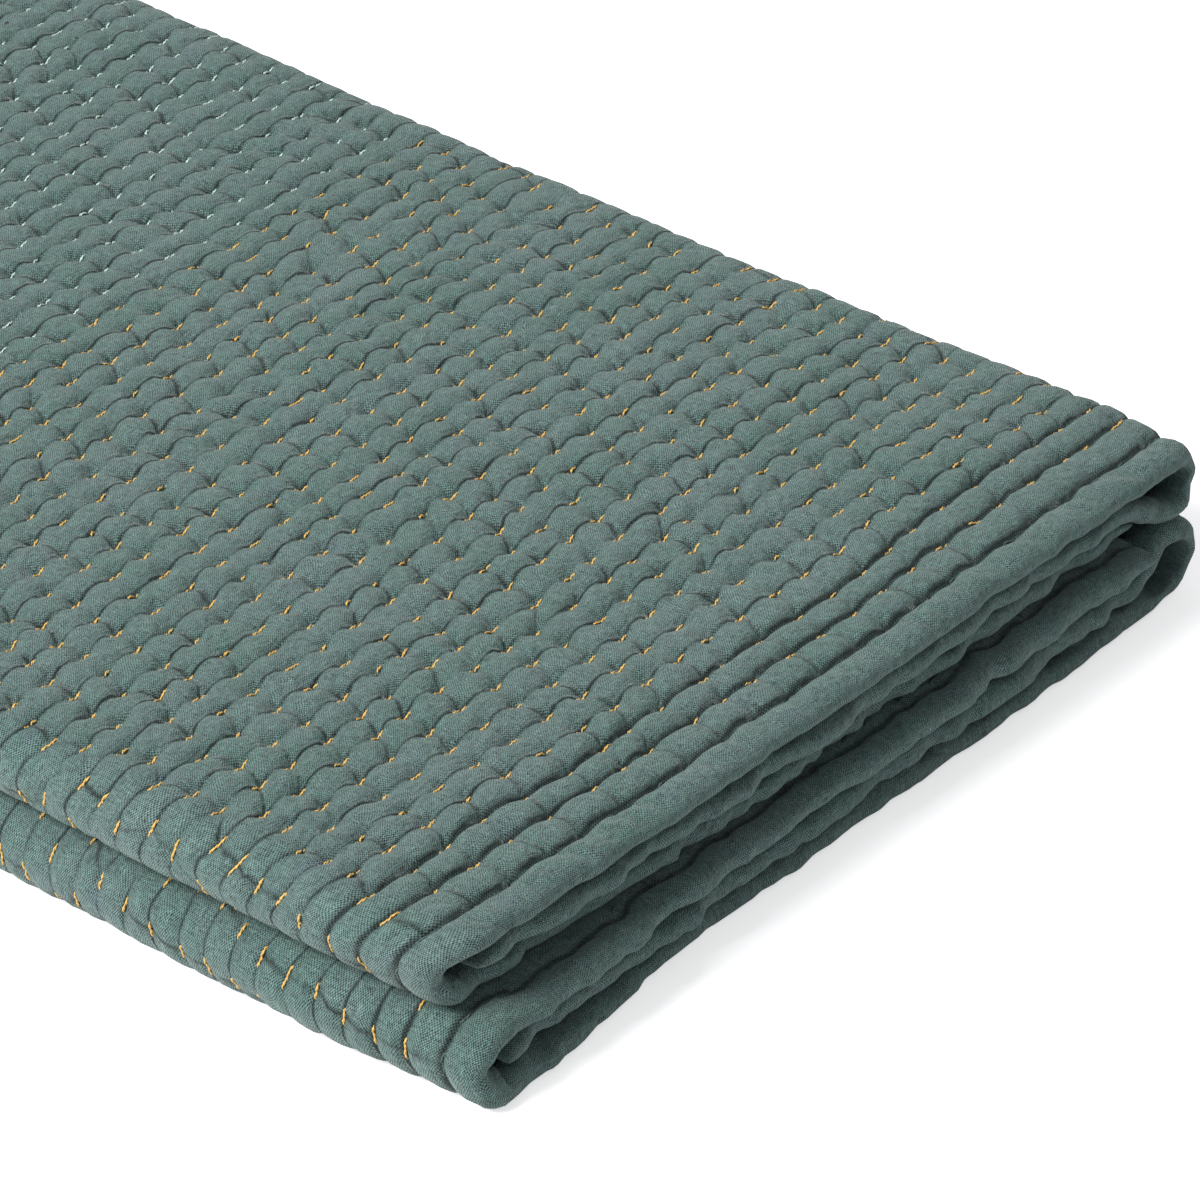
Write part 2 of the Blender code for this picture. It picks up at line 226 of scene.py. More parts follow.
def middle_line():
    """The rolled cloth's middle line from free edge to free edge, closely spaced.

    Returns the way along it, its x, its offset from the fold's middle, and where its runs end.
    """
    inner_x = np.arange(EDGE_X, BEND_X, -LINE_STEP)
    turn = np.radians(np.linspace(-90.0, -270.0, TURN_POINTS))
    outer_x = np.arange(BEND_X, LOOP_X, LINE_STEP)
    loop = np.radians(np.linspace(90.0, -90.0, TURN_POINTS))
    middle_x = np.arange(LOOP_X, TUCK_X, -LINE_STEP)
    x = np.concatenate([inner_x, BEND_X + LAYER * np.cos(turn), outer_x,
                        LOOP_X + LAYER * np.cos(loop), middle_x])
    up = np.concatenate([np.full(inner_x.size, INNER), MIDDLE + LAYER * np.sin(turn),
                         np.full(outer_x.size, OUTER), MIDDLE + LAYER * np.sin(loop),
                         INNER + LAYER * smooth((LOOP_X - middle_x) / LOOP_RISE)])
    keep = np.ones(x.size, bool)
    keep[1:] = np.hypot(np.diff(x), np.diff(up)) > LINE_STEP * 0.2
    ends = np.cumsum([inner_x.size, turn.size, outer_x.size, loop.size, middle_x.size]) - 1
    counts = np.cumsum(keep) - 1
    along = np.concatenate([[0.0], np.cumsum(np.hypot(np.diff(x[keep]), np.diff(up[keep])))])
    return along, x[keep], up[keep], along[counts[ends]]


LINE_ALONG, LINE_X, LINE_UP, RUN_ENDS = middle_line()
BEND_START, TOP_START, LOOP_START, LOOP_END, WIDTH = RUN_ENDS
slope = np.gradient(np.stack([LINE_X, LINE_UP]), LINE_ALONG, axis=1)
slope /= np.hypot(*slope)
LINE_OUT_X, LINE_OUT_UP = -slope[1], slope[0]


def thickness(s):
    """Thickness of the cloth along the section, thinner towards its two free edges."""
    from_edge = np.minimum(s, WIDTH - s)
    tapered = between(EDGE_CLOTH, CLOTH, smooth(from_edge / EDGE_TAPER))
    return tapered * between(EDGE_BLUNT, 1.0, rounded(from_edge / EDGE_ROUND))


def hem_back(s, x, up, half, v):
    """How far the cloth lies behind the upper outer hem."""
    table = SETBACK[half]
    across = (x + HALF_WIDTH) / (2 * HALF_WIDTH)
    turned = (up - INNER) / (OUTER - INNER)

    def run(layer):
        left, middle, right = table[layer]
        back = between(left, middle, smooth(across / SETBACK_REACH))
        return between(back, right, smooth(1.0 - (1.0 - across) / SETBACK_REACH))

    bend = between(table["inner"][0], table["outer"][0], turned)
    bend = bend + table["bend"] * np.sin(math.pi * np.clip(turned, 0.0, 1.0))
    loop = between(table["middle"][2], table["outer"][2], turned)
    back = np.select([s < BEND_START, s < TOP_START, s < LOOP_START, s < LOOP_END],
                     [run("inner"), bend, run("outer"), loop], run("middle"))
    ripple = uneven_sum(s, 0.0 * s, UPPER_RIPPLES if half == "upper" else LOWER_RIPPLES)
    ripple = ripple * between(1.0, CALMER_OUTSIDE, smooth(2.0 * turned - 1.0))
    return back + ripple * smooth((RIPPLE_END - v) / RIPPLE_FADE)


def row_bow(x):
    """How far the rows are drawn forward, least a little right of the middle."""
    return ROW_BOW * (np.cos((x - BOW_MIDDLE) / BOW_REACH) - 1.0)


def settle(s, v, out):
    """Points of the folded quilt: s along its section, v from the upper hem to the lower one,
    out from the cloth's middle line to its outer side."""
    s, v, out = (np.asarray(item, float) for item in np.broadcast_arrays(s, v, out))
    wander = uneven_sum(s, v, WANDER)
    v = v + wander * within(v, 0.0, LENGTH, WANDER_REACH)
    x = np.interp(s, LINE_ALONG, LINE_X) + np.interp(s, LINE_ALONG, LINE_OUT_X) * out
    line_x = np.interp(s, LINE_ALONG, LINE_X)
    line_up = np.interp(s, LINE_ALONG, LINE_UP)
    up = line_up + np.interp(s, LINE_ALONG, LINE_OUT_UP) * out

    upper = v < HALF_LENGTH
    where = np.minimum(np.minimum(v, LENGTH - v), RUN)
    rear = np.clip((v - RUN) / REAR_LENGTH, 0.0, 1.0)
    turn = math.pi * rear
    back = np.where(upper, hem_back(s, line_x, line_up, "upper", where),
                    hem_back(s, line_x, line_up, "lower", where))
    fade = within(where, HEM_ROWS[2], RUN, CORNER_REACH)
    waves = np.sin(ROW_WAVE_TURNS[0] * x + ROW_WAVE_TURNS[1] * where)
    y = between(back, RUN, where / RUN) + ROW_WAVE * waves * fade
    y = y + row_bow(x) * within(where, 0.0, RUN, *BOW_ENDS)
    y = y + np.minimum(v, 0.0) + np.minimum(LENGTH - v, 0.0)
    near_fold = smooth(1.0 - (RUN - where) / CORNER_REACH)
    closing = 1.0 - near_fold * REAR_OPENING / (OUTER_FACE - INNER + CLOTH / 2)
    radius = OUTER_FACE - (OUTER_FACE - up) * closing
    y = y + radius * np.sin(turn)
    height = radius * np.cos(turn)

    lift = smooth((x - LIFT_FROM) / LIFT_WIDTH)
    middle = (OUTER_FACE - SINK) * (1.0 + LOWER_LIFT * lift)
    growth = np.where(height < 0.0, LOWER_LIFT, UPPER_LIFT)
    z = middle + height * (1.0 + growth * lift)
    swell = STACK_UNEVEN * np.sin(STACK_UNEVEN_TURNS[0] * x + STACK_UNEVEN_START[0])
    swell = swell * np.sin(STACK_UNEVEN_TURNS[1] * y + STACK_UNEVEN_START[1])
    near_right = smooth(1.0 - (HALF_WIDTH - x) / (2 * CORNER_REACH))
    droop = CORNER_DROOP * near_right * smooth(1.0 - y / DROOP_REACH)
    z = np.maximum(z * (1.0 + swell - droop), 0.0)

    across = (x + HALF_WIDTH) / (2 * HALF_WIDTH)
    along = np.maximum(y, 0.0) / (RUN + OUTER_FACE)
    width = between(HALF_WIDTH, REAR_HALF_WIDTH, along)
    shift = np.where(upper, LEFT_SHIFT["upper"], LEFT_SHIFT["lower"])
    shift = np.where(rear > 0.0, LEFT_SHIFT["rear"], shift)
    left = shift * within(y, 0.0, RUN, CORNER_REACH)
    right = RIGHT_HOLLOW * np.sin(math.pi * np.minimum(along, 1.0))
    right = right + RIGHT_BULGE * fall_off(y - BULGE_MIDDLE, BULGE_REACH, 2)
    near_hem = smooth(1.0 - y / (3 * CORNER_REACH))
    right = right + np.where(upper, 0.0, LOWER_RIGHT_SHIFT * near_hem)
    x = x * width / HALF_WIDTH + between(left, right, across)
    return np.stack([x, y, z], axis=-1) - np.array(CENTRE)


# ------------------------ rows, stitches and relief

FRONT_ROWS = list(HEM_ROWS) + [HEM_ROWS[2] + ROW_GAP * number for number in range(1, EVEN_ROWS + 1)]
ROWS = FRONT_ROWS + [LENGTH - row for row in reversed(FRONT_ROWS)]


def sew_rows():
    """Places of the stitches in each row, along the section."""
    chance = np.random.default_rng(5)
    count = int(WIDTH / STITCH_PITCH) + SPARE_STITCHES
    rows = []
    phase = 0.0
    for _ in ROWS:
        phase = (phase + chance.normal(*STITCH_DRIFT)) % 1.0
        stray = chance.normal(0.0, STITCH_STRAY, count)
        rows.append((np.arange(count) - FIRST_PLACE + phase + stray) * STITCH_PITCH)
    return rows


STITCHES = sew_rows()


def stitch_counts():
    """The number of the first stitch in each row, so that neighbouring rows' numbers agree best."""
    firsts = [0]
    probe = np.linspace(0.0, WIDTH, 60)
    for before, after in zip(STITCHES[:-1], STITCHES[1:]):
        was = np.interp(probe, before, np.arange(before.size) + firsts[-1])
        now = np.interp(probe, after, np.arange(after.size))
        firsts.append(int(round(float(np.mean(was - now)))))
    return firsts


FIRST_STITCH = stitch_counts()
TABLE_STEPS, TABLE_MARGIN = 4000, 0.02  # of the table that numbers places by stitch


def pulled(s, v):
    """The place v with the first hem row drawn nearer to the hem on the innermost layer."""
    from_hem = np.minimum(v, LENGTH - v)
    pull = INNER_PULL * (1.0 - smooth((s - BEND_START + PULL_FADE) / PULL_FADE))
    pull = pull * within(from_hem, 0.0, PULL_END, PULL_RISE, PULL_FALL)
    return v + np.where(v < HALF_LENGTH, pull, -pull)


def sewing_place(s, v):
    """A place in the sewing's own numbers: (stitch, row), both whole at the middle of a stitch."""
    s, v = np.broadcast_arrays(np.asarray(s, float), pulled(s, np.asarray(v, float)))
    row = np.interp(v, ROWS, np.arange(len(ROWS)))
    row = row + np.minimum(v - ROWS[0], 0.0) / ROW_GAP + np.maximum(v - ROWS[-1], 0.0) / ROW_GAP
    below = np.clip(np.floor(row).astype(int), 0, len(ROWS) - 2)
    share = np.clip(row - below, 0.0, 1.0)
    fine = np.linspace(-TABLE_MARGIN, WIDTH + TABLE_MARGIN, TABLE_STEPS + 1)
    table = np.stack([np.interp(fine, places, np.arange(places.size) + first)
                      for places, first in zip(STITCHES, FIRST_STITCH)])
    at = (s + TABLE_MARGIN) / (WIDTH + 2 * TABLE_MARGIN) * TABLE_STEPS
    at = np.clip(at, 0.0, TABLE_STEPS - 1.0)
    left = at.astype(int)
    part = at - left
    near = between(table[below, left], table[below, left + 1], part)
    far = between(table[below + 1, left], table[below + 1, left + 1], part)
    return between(near, far, share), row


def whole_distance(value):
    """Distance to the nearest whole number."""
    return np.abs(value - np.round(value))


CELL_ROWS, CELL_COLUMNS = 151, 127  # before the cells' random numbers repeat
ARC_SHIFT, CROWN_SHIFT = 31, 77  # so that arcs, crowns and creases vary apart
CELLS = np.random.default_rng(47).uniform(0.0, 1.0, (CELL_ROWS, CELL_COLUMNS))


def drawn(row, stitch, shift=0):
    """A random number for one cell of the sewing, from 0 to 1."""
    row, stitch = np.asarray(row).astype(int), np.asarray(stitch).astype(int)
    return CELLS[(row + shift) % CELL_ROWS, stitch % CELL_COLUMNS]


def arched_row(stitch, row):
    """The row number at a place, with each row arched backwards between its stitches."""
    below, cell = np.floor(row), np.floor(stitch)
    near, far = drawn(below, cell, ARC_SHIFT), drawn(below + 1, cell, ARC_SHIFT)
    arc = ARC * between(*ARC_VARIETY, between(near, far, row - below))
    from_end = np.minimum(row, len(ROWS) - 1.0 - row)
    arc = arc * between(AT_HEM["arcs"], 1.0, smooth(from_end - 2.2))
    return row - arc * np.sin(math.pi * stitch) ** 2


def cross_crease(stitch, row):
    """How strongly the cloth creases from a stitch to the next row's, from 0 to 1."""
    here = drawn(np.floor(row), np.round(stitch))
    from_end = np.minimum(row, len(ROWS) - 1.0 - row)
    strength = smooth((here - CREASE_CHANCE[0]) / CREASE_CHANCE[1])
    strength = strength * between(AT_HEM["creases"], 1.0, smooth(from_end - 2.0))
    return np.where(from_end > 0.0, strength, 0.0)


def relief_at(s, v):
    """Height of the quilted outer face over the plain cloth, and how hollow it is, from 0 to 1; the
    hollowness sets painted shade in the cloth's colour.

    Each row is drawn in, most at its stitches; the cloth puffs between them and creases from
    stitch to stitch of neighbouring rows.
    """
    stitch, row = sewing_place(s, v)
    sewn = (row > -0.5) & (row < len(ROWS) - 0.5)
    arched = arched_row(stitch, row)
    to_stitch = whole_distance(stitch) * STITCH_PITCH
    to_row = np.where(sewn, whole_distance(row), 0.5) * ROW_GAP
    behind = np.where(v < HALF_LENGTH, 1.0, -1.0) * (arched - np.round(arched)) > 0.0
    to_arch = np.where(sewn, whole_distance(arched), 0.5) * ROW_GAP
    from_hem = np.minimum(pulled(s, v), LENGTH - pulled(s, v))

    loose = 1.0 + uneven_sum(s, v, LOOSE_VARIETY)
    reach = np.where(behind, ROW_REACH["behind"], ROW_REACH["front"])
    sunk = LOOSE_DEPTH * loose * fall_off(to_arch, reach, POWER["row"])
    pit = fall_off(to_stitch, PIT_REACH["along"], POWER["pit along"])
    pit = pit * fall_off(to_row, PIT_REACH["across"], POWER["pit across"])
    by_hem = smooth((HEM_ROWS_END - from_hem) / HEM_ROWS_FADE)
    sunk += TIGHT_DEPTH * pit * between(1.0, AT_HEM["pits"], by_hem)
    nearer_row = np.abs(np.mod(row, 1.0) - 0.5) * 2
    crease = CROSS_DEPTH * cross_crease(stitch, row) * between(CREASE_MIDDLE, 1.0, nearer_row)
    sunk += np.where(sewn, crease, 0.0) * fall_off(to_stitch, CREASE_REACH, POWER["crease"])
    for place, depth, slit in zip(HEM_ROWS, HEM_DEPTHS, HEM_SLITS):
        away = from_hem - place + uneven_sum(s, v, HEM_ROW_STRAY)
        reach = np.where(away > 0.0, HEM_ROW_REACH["behind"], HEM_ROW_REACH["front"])
        sunk += (depth - LOOSE_DEPTH) * fall_off(np.abs(away), reach, POWER["hem row"])
        sunk += slit * fall_off(np.abs(away), SLIT_REACH, POWER["hem row"])
    hem = within(from_hem, 0.0, HEM_ROWS[0], 0.002, 0.003)
    skewed = s + np.where(v < HALF_LENGTH, 1.0, -1.0) * FOLD_SLANT["outer"] * from_hem
    folds = np.abs(unevenness(skewed, v, *OUTER_FOLDS))
    sunk += hem * FOLD_DEPTH * (1.0 - folds) ** 3
    sunk += hem * CRINKLE_DEPTH * np.abs(unevenness(skewed, v, *CRINKLES))

    crown = CROWN_HEIGHT * drawn(np.floor(arched), np.floor(stitch), CROWN_SHIFT)
    window = np.sin(math.pi * np.mod(stitch, 1.0)) * np.sin(math.pi * np.mod(arched, 1.0))
    crown = crown * window ** 0.4 * between(1.0, AT_HEM["crowns"], by_hem)
    height = uneven_sum(s, v, PUFFS) + np.where(sewn, crown, 0.0) - sunk
    on_top = within(s, TOP_START - TURN_FADE / 2, LOOP_START + TURN_FADE / 2, TURN_FADE)
    return height * between(RELIEF_ON_TURNS, 1.0, on_top), np.clip(sunk / DEEPEST, 0.0, 1.0)


def outer_out(s, v):
    """Height of the quilt's outer side over its middle line."""
    from_hem = np.minimum(v, LENGTH - v)
    nose = rounded(from_hem / NOSE)
    roll = 1.0 + HEM_ROLL * smooth((ROLL_END - from_hem) / ROLL_FADE)
    uneven = uneven_sum(s, v, HEM_VARIETY) * smooth((VARIETY_END - from_hem) / VARIETY_FADE)
    roll = roll * (1.0 + uneven)
    up = np.interp(s, LINE_ALONG, LINE_UP)
    seen = (s > BEND_START) & (s < LOOP_END)
    open_face = np.where(seen, smooth((up - INNER) / (LAYER / 2)), 0.0)
    by_hem = 1.0 - smooth((from_hem - LOOSE_HEM) / LOOSE_FADE)
    relief = relief_at(s, v)[0]
    hidden = np.minimum(relief, 0.0) * HIDDEN_HOLLOWS * by_hem
    shown = between(hidden, relief, open_face)
    plain = between(between(PRESSED["outer"], 1.0, by_hem), 1.0, open_face)
    full = thickness(s) / 2
    raised = shown * nose * np.minimum(full / FULL_RELIEF, 1.0)
    return full * between(HEM_BLUNT, 1.0, nose) * roll * plain + raised


def inner_out(s, v):
    """Height of the quilt's inner side over its middle line, counted downwards."""
    from_hem = np.minimum(v, LENGTH - v)
    nose = rounded(from_hem / NOSE)
    by_hem = 1.0 - smooth((from_hem - LOOSE_HEM) / LOOSE_FADE)
    groove = INNER_GROOVE * fall_off(from_hem - HEM_ROWS[0], GROOVE_REACH, 2)
    soft = uneven_sum(s, v, INNER_BUMPS) + by_hem * uneven_sum(s, v, INNER_PUFFS)
    folds = np.abs(unevenness(s + FOLD_SLANT["inner"] * from_hem, v, *INNER_FOLDS))
    soft = soft - by_hem * FOLD_DEPTH * (1.0 - folds) ** 3
    at_bend = within(s, BEND_START, TOP_START, 0.006)
    at_loop = within(s, LOOP_START - 0.020, LOOP_END + 0.004, 0.020, 0.008)
    crumpled = uneven_sum(s, v, CRUMPLES) * np.maximum(at_bend, at_loop)
    crumpled = crumpled + FULLER_BEND * at_bend - THINNER_LOOP * at_loop
    soft = soft + crumpled * smooth(1.0 - (from_hem - CRUMPLED_HEM) / CRUMPLE_FADE)
    full = thickness(s) / 2 * between(PRESSED["inner"], 1.0, by_hem) + soft * nose
    return (full - groove) * between(HEM_BLUNT, 1.0, nose)


# ------------------------ the cloth's mesh

# Where the mesh has its vertices along the quilt: from the hem, and between two rows.
NOSE_STOPS = (0.0, 0.00035, 0.0011, 0.0023, 0.0039, 0.0058, 0.0078)
HEM_STOPS = NOSE_STOPS + (0.0096, 0.0110, 0.0120)
HIDDEN_HEM_STOPS = NOSE_STOPS + (0.0085, 0.0092, 0.0101, 0.0115, HEM_ROWS[0], 0.0150, 0.0200, 0.0300)
FINE = (0.0, 0.06, 0.13, 0.22, 0.33, 0.44, 0.56, 0.67, 0.78, 0.87, 0.94)
MEDIUM = (0.0, 0.07, 0.18, 0.35, 0.65, 0.82, 0.93)
COARSE = (0.0, 0.33, 0.67)

# And from column to column, across the folded quilt.
TOP_STEP, SIDE_STEP, INNER_SIDE_STEP, HIDDEN_STEP = 0.00135, 0.0018, 0.0017, 0.0024
UNDER_LOOP = 0.032  # width of the middle layer that shows in the loop
EDGE_STEPS = (0.0006, 0.0018, 0.0038)

CLOTH_TRIANGLES = 196000


def row_stops(rows, shares):
    """Stops along the quilt in every row's width, as shares of the way to the next row."""
    stops = []
    for row, following in zip(rows[:-1], rows[1:]):
        stops += [between(row, following, share) for share in shares]
    return stops + [rows[-1]]


def stops_for(upper, rear, lower):
    """All the stops of one column, from the upper hem to the lower one."""
    turning = sum(row < RUN for row in FRONT_ROWS)
    front = list(HEM_STOPS) + row_stops(FRONT_ROWS[:turning], upper)
    fold = row_stops(ROWS[turning - 1:len(ROWS) - turning + 1], rear)[1:-1]
    under = list(HEM_STOPS) + row_stops(FRONT_ROWS[:turning], lower)
    return np.array(front + fold + [LENGTH - stop for stop in reversed(under)])


def hidden_stops():
    """The stops of a column that only shows at the hems."""
    front = list(HIDDEN_HEM_STOPS) + list(np.linspace(0.045, RUN - 0.012, 13))
    fold = list(RUN + REAR_LENGTH * np.linspace(0.0, 1.0, 9))
    return np.array(front + fold + [LENGTH - stop for stop in reversed(front)])


TOP_STOPS = stops_for(FINE, MEDIUM, COARSE)
BEND_STOPS = stops_for(FINE, MEDIUM, FINE)
LOOP_STOPS = stops_for(MEDIUM, MEDIUM, MEDIUM)
HIDDEN_STOPS = hidden_stops()


def columns_along(side):
    """(place along the section, stops) of the columns of one side of the cloth."""
    if side > 0:
        shown = [(BEND_START, TOP_START, SIDE_STEP, BEND_STOPS),
                 (TOP_START, LOOP_START, TOP_STEP, TOP_STOPS),
                 (LOOP_START, LOOP_END, SIDE_STEP, LOOP_STOPS)]
    else:
        shown = [(BEND_START, TOP_START, INNER_SIDE_STEP, HIDDEN_STOPS),
                 (TOP_START, LOOP_START, HIDDEN_STEP, HIDDEN_STOPS),
                 (LOOP_START, LOOP_END, INNER_SIDE_STEP, HIDDEN_STOPS)]
    plan = [(0.0, BEND_START, HIDDEN_STEP, HIDDEN_STOPS)] + shown
    plan += [(LOOP_END, LOOP_END + UNDER_LOOP, INNER_SIDE_STEP, HIDDEN_STOPS),
             (LOOP_END + UNDER_LOOP, WIDTH, HIDDEN_STEP, HIDDEN_STOPS)]
    columns = [(WIDTH, HIDDEN_STOPS)]
    for start, end, step, stops in plan:
        count = max(round((end - start) / step), 2)
        columns += [(between(start, end, number / count), stops) for number in range(count)]
    for edge in EDGE_STEPS:
        columns += [(edge, HIDDEN_STOPS), (WIDTH - edge, HIDDEN_STOPS)]
    return sorted(columns, key=lambda column: column[0])


def zip_faces(first, second, first_at, second_at, turn):
    """Faces between two lines of vertices, each with its own stops; turned over by turn -1."""
    faces = []
    i = j = 0
    while i < len(first) - 1 or j < len(second) - 1:
        a = first_at[i + 1] if i < len(first) - 1 else math.inf
        b = second_at[j + 1] if j < len(second) - 1 else math.inf
        if abs(a - b) < 1e-9:
            faces.append((first[i], first[i + 1], second[j + 1], second[j]))
            i, j = i + 1, j + 1
        elif a < b:
            faces.append((first[i], first[i + 1], second[j]))
            i += 1
        else:
            faces.append((first[i], second[j + 1], second[j]))
            j += 1
    return [face[::turn] for face in faces]


def around_hems(v, side):
    """The way over the cloth from the upper hem's edge, counting the way around the hems' noses."""
    from_hem = np.linspace(0.0, NOSE, 400)
    rise = CLOTH / 2 * rounded(from_hem / NOSE)
    way = np.concatenate([[0.0], np.cumsum(np.hypot(np.diff(from_hem), np.diff(rise)))])
    longer = way[-1] - NOSE
    near = np.interp(v, from_hem, way) + np.maximum(v - NOSE, 0.0)
    far = np.interp(LENGTH - v, from_hem, way) + np.maximum(LENGTH - v - NOSE, 0.0)
    whole = LENGTH + 2 * longer
    over = np.where(v < HALF_LENGTH, near, whole - far)
    return np.where(side > 0, over, np.where(v < HALF_LENGTH, -near, whole + far))


def shade_smooth(mesh):
    """Shade all the mesh's faces smoothly."""
    mesh.polygons.foreach_set("use_smooth", np.ones(len(mesh.polygons), dtype=bool))


def new_piece(name, points, faces):
    """A new piece in the scene."""
    mesh = bpy.data.meshes.new(name)
    mesh.from_pydata(points.reshape(-1, 3).tolist(), [], faces)
    shade_smooth(mesh)
    mesh.update()
    piece = bpy.data.objects.new(name, mesh)
    bpy.context.collection.objects.link(piece)
    return piece


def cloth_mesh():
    """The whole quilt as one closed, thin, folded sheet."""
    s, v, side, lines = [], [], [], []
    for face in (1, -1):
        for place, stops in columns_along(face):
            start = sum(len(item) for item in s)
            s.append(np.full(stops.size, place))
            v.append(stops)
            side.append(np.full(stops.size, face))
            lines.append((face, place, list(range(start, start + stops.size)), stops))
    s, v, side = np.concatenate(s), np.concatenate(v), np.concatenate(side)
    out = np.where(side > 0, outer_out(s, v), -inner_out(s, v))
    points = settle(s, v, out)

    over = [line for line in lines if line[0] > 0]
    under = [line for line in lines if line[0] < 0]
    faces = []
    for columns, turn in ((over, 1), (under, -1)):
        for near, far in zip(columns[:-1], columns[1:]):
            faces += zip_faces(near[2], far[2], near[3], far[3], turn)
    for end, turn in ((0, -1), (-1, 1)):
        faces += zip_faces(over[end][2], under[end][2], over[end][3], under[end][3], turn)
        faces += zip_faces([line[2][end] for line in over], [line[2][end] for line in under],
                           [line[1] for line in over], [line[1] for line in under], -turn)

    quilt = new_piece("quilt_cloth", points, faces)
    mesh = quilt.data
    corners = np.empty(len(mesh.loops), dtype=np.int32)
    mesh.loops.foreach_get("vertex_index", corners)
    stitch, row = sewing_place(s, v)
    inner_row = INNER_LINE + np.minimum((np.minimum(v, LENGTH - v) - HEM_ROWS[0]) / ROW_GAP, 0.7)
    inner_row = np.where(v < HALF_LENGTH, -inner_row, len(ROWS) - 1 + inner_row)
    sewn_row = np.where(side > 0, arched_row(stitch, row), inner_row)
    maps = {
        "flat cloth": (s, around_hems(v, side)),
        "sewing": (stitch, sewn_row),
        # the cross creases' strength, and the hollows' depth for the painted shade in the cloth's
        # colour
        "hollows": (np.where(side > 0, cross_crease(stitch, row), 0.0), relief_at(s, v)[1]),
    }
    for name, (across, along) in maps.items():
        spread = np.stack([across, along], axis=-1)[corners]
        mesh.uv_layers.new(name=name).data.foreach_set("uv", spread.astype(np.float32).ravel())
    thin_out(quilt, CLOTH_TRIANGLES)
    return quilt


def thin_out(thing, triangles):
    """Merge the mesh's faces where it is flattest, down to a number of triangles."""
    before = sum(len(face.vertices) - 2 for face in thing.data.polygons)
    sparser = thing.modifiers.new("sparser", "DECIMATE")
    sparser.ratio = triangles / before
    shown = thing.evaluated_get(bpy.context.evaluated_depsgraph_get())
    mesh = bpy.data.meshes.new_from_object(shown)
    thing.modifiers.clear()
    thing.data = mesh
    shade_smooth(mesh)


# ------------------------ the stitches

PLY_RADIUS = 0.00026
PLY_OFFSET = 0.00022  # of each of the two plies from the thread's middle
TWIST = 0.0026  # length of one turn of the plies
TWIST_START = 9000.0  # radians a metre: starts each stitch's turns differently
SINKING = 0.0008  # how far a stitch's ends go down into the cloth
LIFTED = 1.7  # a stitch's middle over the cloth, in ply radii
STITCH_END, STITCH_TAPER = 0.55, 0.25  # thickness at a stitch's ends, and how far it tapers
HALF_VARIETY = (0.70, 1.25)  # of each stitch's length
SLANT = 0.10  # spread of the stitches' slants, in radians
STEPS_AND_SIDES = {"shown": (8, 5), "below": (5, 4)}  # of a ply's mesh
STITCH_PIECES = ("gold_stitches_above", "gold_stitches_at_the_sides", "gold_stitches_below",
                 "mint_stitches_above", "mint_stitches_below", "green_hem_stitches")


def stitch_piece(number, place, row):
    """The piece that a stitch belongs to, from its row's number, its place along the row and the
    row's distance from the upper hem; None where the stitch is folded away."""
    if number in (0, len(ROWS) - 1):
        return "green_hem_stitches"
    if not BEND_START < place < LOOP_END:
        return None
    under = row > HALF_LENGTH
    on_floor = under and TOP_START < place < LOOP_START
    if min(row, LENGTH - row) >= MINT_FROM:
        return "mint_stitches_below" if on_floor else "mint_stitches_above"
    if on_floor:
        return "gold_stitches_below"
    return "gold_stitches_at_the_sides" if under else "gold_stitches_above"


def stitch_tables():
    """For each piece, its stitches' (place, distance from the upper hem, half length, slant)."""
    chance = np.random.default_rng(6)
    tables = {name: [] for name in STITCH_PIECES}
    for number, (places, row) in enumerate(zip(STITCHES, ROWS)):
        for place in places:
            half = STITCH_HALF * chance.uniform(*HALF_VARIETY)
            slant = chance.normal(0.0, SLANT)
            name = stitch_piece(number, place, row)
            if name:
                tables[name].append((place, row, half, slant))
    return {name: np.array(table) for name, table in tables.items()}


def thread_mesh(name, table, steps, sides):
    """One mesh of two-ply stitches, lying in their row and going down into it at both ends."""
    place, row, half, slant = table.T[:, :, None]
    t = np.linspace(-1.0, 1.0, steps)[None, :]
    s = place + half * t * np.cos(slant)
    v = row + half * t * np.sin(slant)
    dive = SINKING * smooth((np.abs(t) - 0.45) / 0.55) ** 1.5
    out = outer_out(s, v) + PLY_RADIUS * LIFTED - dive
    middle = settle(s, v, out)
    ahead = np.gradient(middle, axis=1)
    ahead /= np.linalg.norm(ahead, axis=2, keepdims=True)
    up = middle - settle(s, v, out - CLOTH / 2)
    aslant = np.cross(ahead, up)
    aslant /= np.linalg.norm(aslant, axis=2, keepdims=True)
    up = np.cross(aslant, ahead)

    turns = half * t / TWIST * 2 * math.pi + place * TWIST_START
    taper = between(STITCH_END, 1.0, smooth((1.0 - np.abs(t)) / STITCH_TAPER)) * np.ones_like(half)
    points = []
    for ply in (0.0, math.pi):
        swing = turns + ply
        core = middle + PLY_OFFSET * (np.cos(swing)[..., None] * aslant
                                      + np.sin(swing)[..., None] * up)
        for number in range(sides):
            angle = 2 * math.pi * number / sides
            ring = math.cos(angle) * aslant + math.sin(angle) * up
            points.append(core + (PLY_RADIUS * taper)[..., None] * ring)
    points = np.stack(points, axis=2)

    count = place.shape[0]
    index = np.arange(count * steps * 2 * sides).reshape(count, steps, 2, sides)
    following = np.roll(index, -1, axis=3)
    walls = np.stack([index[:, :-1], following[:, :-1], following[:, 1:], index[:, 1:]], axis=-1)
    faces = walls.reshape(-1, 4).tolist()
    faces += index[:, 0, :, ::-1].reshape(-1, sides).tolist()
    faces += index[:, -1].reshape(-1, sides).tolist()
    return new_piece(name, points, faces)


def sew_threads():
    """All the stitches that show, a mesh for each thread and side of the folded quilt."""
    threads = {}
    for name, table in stitch_tables().items():
        steps, sides = STEPS_AND_SIDES["below" if "below" in name else "shown"]
        threads[name] = thread_mesh(name, table, steps, sides)
    return threads


# ------------------------ finishes

